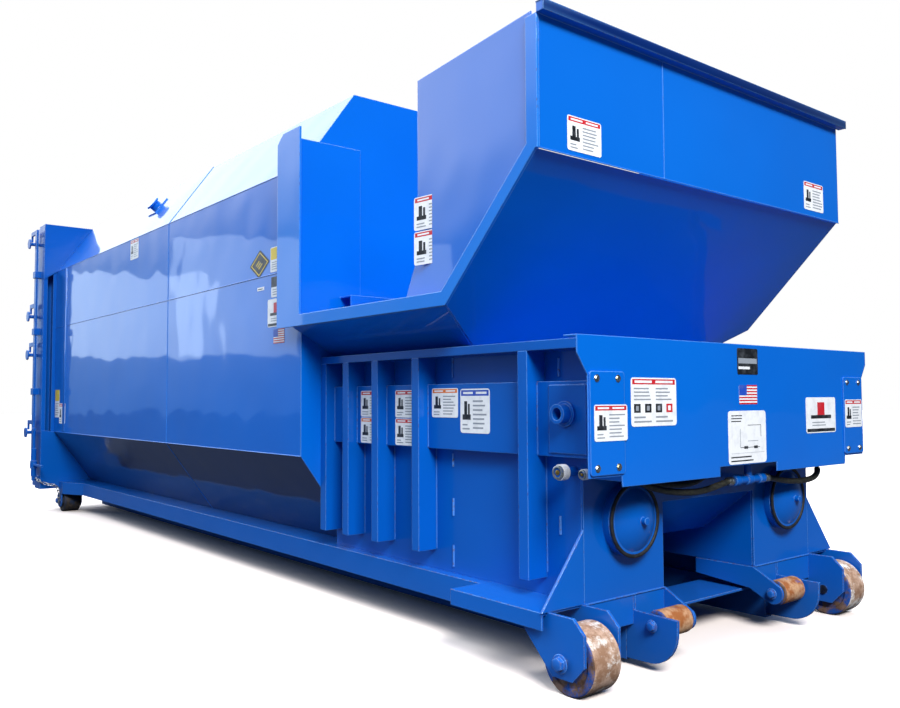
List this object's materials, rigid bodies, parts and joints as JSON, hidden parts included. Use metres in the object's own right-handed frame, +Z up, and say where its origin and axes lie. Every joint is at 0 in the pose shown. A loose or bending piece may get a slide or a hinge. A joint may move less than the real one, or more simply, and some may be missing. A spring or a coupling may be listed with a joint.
{
  "type": "trash compactor",
  "caption": "Self-contained roll-off trash compactor: side-loading hopper over a hydraulic charge box, welded to an eight-sided container with a rear door.",
  "frame": {"origin": "on the ground below the middle of the machine's overall box", "axes": "+X to the machine's right seen from its packing end, +Y from the packing end to the rear door, +Z up"},
  "size_m": [2.336, 6.798, 2.628],
  "materials": {
    "blue_enamel": "glossy blue enamel over welded steel plate",
    "worn_iron": "worn bare steel with rust",
    "zinc_plate": "zinc plated",
    "seal_rubber": "matt black rubber",
    "printed_vinyl": "printed white vinyl, semi-gloss",
    "hose_rubber": "olive black hydraulic hose",
    "hard_chrome": "hard chrome",
    "turned_steel": "turned steel"
  },
  "bodies": {
    "root": {"container_floor": "blue_enamel", "side_panels": "blue_enamel", "roof_panel": "blue_enamel", "roof_slopes": "blue_enamel", "lower_slopes": "blue_enamel", "container_front_wall": "blue_enamel", "outer_rails": "blue_enamel", "hoist_rails": "blue_enamel", "cross_members": "blue_enamel", "rear_posts": "blue_enamel", "rear_crossbars": "blue_enamel", "corner_plates": "blue_enamel", "hinge_brackets": "blue_enamel", "hinge_pins": "zinc_plate", "latch_guides": "blue_enamel", "binder_body": "blue_enamel", "safety_chain": "zinc_plate", "box_sides": "blue_enamel", "box_floors": "blue_enamel", "tank_front": "blue_enamel", "tunnel_plates": "blue_enamel", "body_stiffeners": "blue_enamel", "top_rails": "blue_enamel", "side_channels": "blue_enamel", "pin_tubes": "blue_enamel", "front_cover": "blue_enamel", "access_plates": "blue_enamel", "access_bolts": "zinc_plate", "wheel_steps": "blue_enamel", "wheel_forks": "blue_enamel", "nose_plates": "blue_enamel", "axle_pins": "turned_steel", "hopper_front": "blue_enamel", "hopper_walls": "blue_enamel", "hopper_frame": "blue_enamel", "breaker_box": "blue_enamel", "cleanout_rings": "blue_enamel", "cylinder_barrels": "blue_enamel", "hydraulic_hoses": "hose_rubber", "hydraulic_fittings": "blue_enamel"},
    "door": {"door_panel": "blue_enamel", "door_ribs": "blue_enamel", "door_seal": "seal_rubber", "hinge_straps": "blue_enamel", "keeper_pins": "blue_enamel"},
    "latch": {"latch_bar": "blue_enamel"},
    "binder_lever": {"binder_handle": "blue_enamel"},
    "wheel_front_left": {"front_wheel_left": "worn_iron"},
    "wheel_front_right": {"front_wheel_right": "worn_iron"},
    "wheel_rear_left": {"rear_wheel_left": "worn_iron"},
    "wheel_rear_right": {"rear_wheel_right": "worn_iron"},
    "roller_left": {"nose_roller_left": "worn_iron"},
    "roller_right": {"nose_roller_right": "worn_iron"},
    "cleanout_left": {"cleanout_cover_left": "blue_enamel"},
    "cleanout_right": {"cleanout_cover_right": "blue_enamel"},
    "ram": {"ram": "blue_enamel", "cylinder_plungers": "hard_chrome"},
    "follower": {"ram_follower": "blue_enamel"},
    "stage_one": {"cylinder_stage_one": "hard_chrome"},
    "stage_two": {"cylinder_stage_two": "hard_chrome"}
  },
  "joints": [
    {"name": "door_swing", "type": "hinge", "parent": "root", "child": "door", "pos_m": [1.144, 3.369, 1.4], "axis": [0, 0, -1], "range_deg": [0, 270]},
    {"name": "latch_slide", "type": "slide", "parent": "root", "child": "latch", "axis": [0, 0, -1], "range_m": [0, 0.05]},
    {"name": "binder_swing", "type": "hinge", "parent": "root", "child": "binder_lever", "pos_m": [-1.134, 3.148, 0.43], "axis": [0, 0, -1], "range_deg": [0, 60]},
    {"name": "front_left_roll", "type": "hinge", "parent": "root", "child": "wheel_front_left", "pos_m": [-0.8685, -3.269, 0.118], "axis": [1, 0, 0], "continuous": true},
    {"name": "front_right_roll", "type": "hinge", "parent": "root", "child": "wheel_front_right", "pos_m": [0.8685, -3.269, 0.118], "axis": [1, 0, 0], "continuous": true},
    {"name": "rear_left_roll", "type": "hinge", "parent": "root", "child": "wheel_rear_left", "pos_m": [-0.845, 3.039, 0.1], "axis": [1, 0, 0], "continuous": true},
    {"name": "rear_right_roll", "type": "hinge", "parent": "root", "child": "wheel_rear_right", "pos_m": [0.845, 3.039, 0.1], "axis": [1, 0, 0], "continuous": true},
    {"name": "nose_left_roll", "type": "hinge", "parent": "root", "child": "roller_left", "pos_m": [-0.406, -3.292, 0.17], "axis": [1, 0, 0], "continuous": true},
    {"name": "nose_right_roll", "type": "hinge", "parent": "root", "child": "roller_right", "pos_m": [0.406, -3.292, 0.17], "axis": [1, 0, 0], "continuous": true},
    {"name": "cleanout_left_pull", "type": "slide", "parent": "root", "child": "cleanout_left", "axis": [0, -1, 0], "range_m": [0, 0.035]},
    {"name": "cleanout_right_pull", "type": "slide", "parent": "root", "child": "cleanout_right", "axis": [0, -1, 0], "range_m": [0, 0.035]},
    {"name": "ram_slide", "type": "slide", "parent": "root", "child": "ram", "axis": [0, 1, 0], "range_m": [0, 1.19]},
    {"name": "follower_slide", "type": "slide", "parent": "root", "child": "follower", "axis": [0, 1, 0], "range_m": [0, 0.6]},
    {"name": "stage_one_slide", "type": "slide", "parent": "root", "child": "stage_one", "axis": [0, 1, 0], "range_m": [0, 0.4]},
    {"name": "stage_two_slide", "type": "slide", "parent": "root", "child": "stage_two", "axis": [0, 1, 0], "range_m": [0, 0.8]}
  ],
  "couplings": [
    {"joint": "follower_slide", "follows": "ram_slide", "ratio": 0.5},
    {"joint": "stage_one_slide", "follows": "ram_slide", "ratio": 0.33333},
    {"joint": "stage_two_slide", "follows": "ram_slide", "ratio": 0.66667}
  ]
}
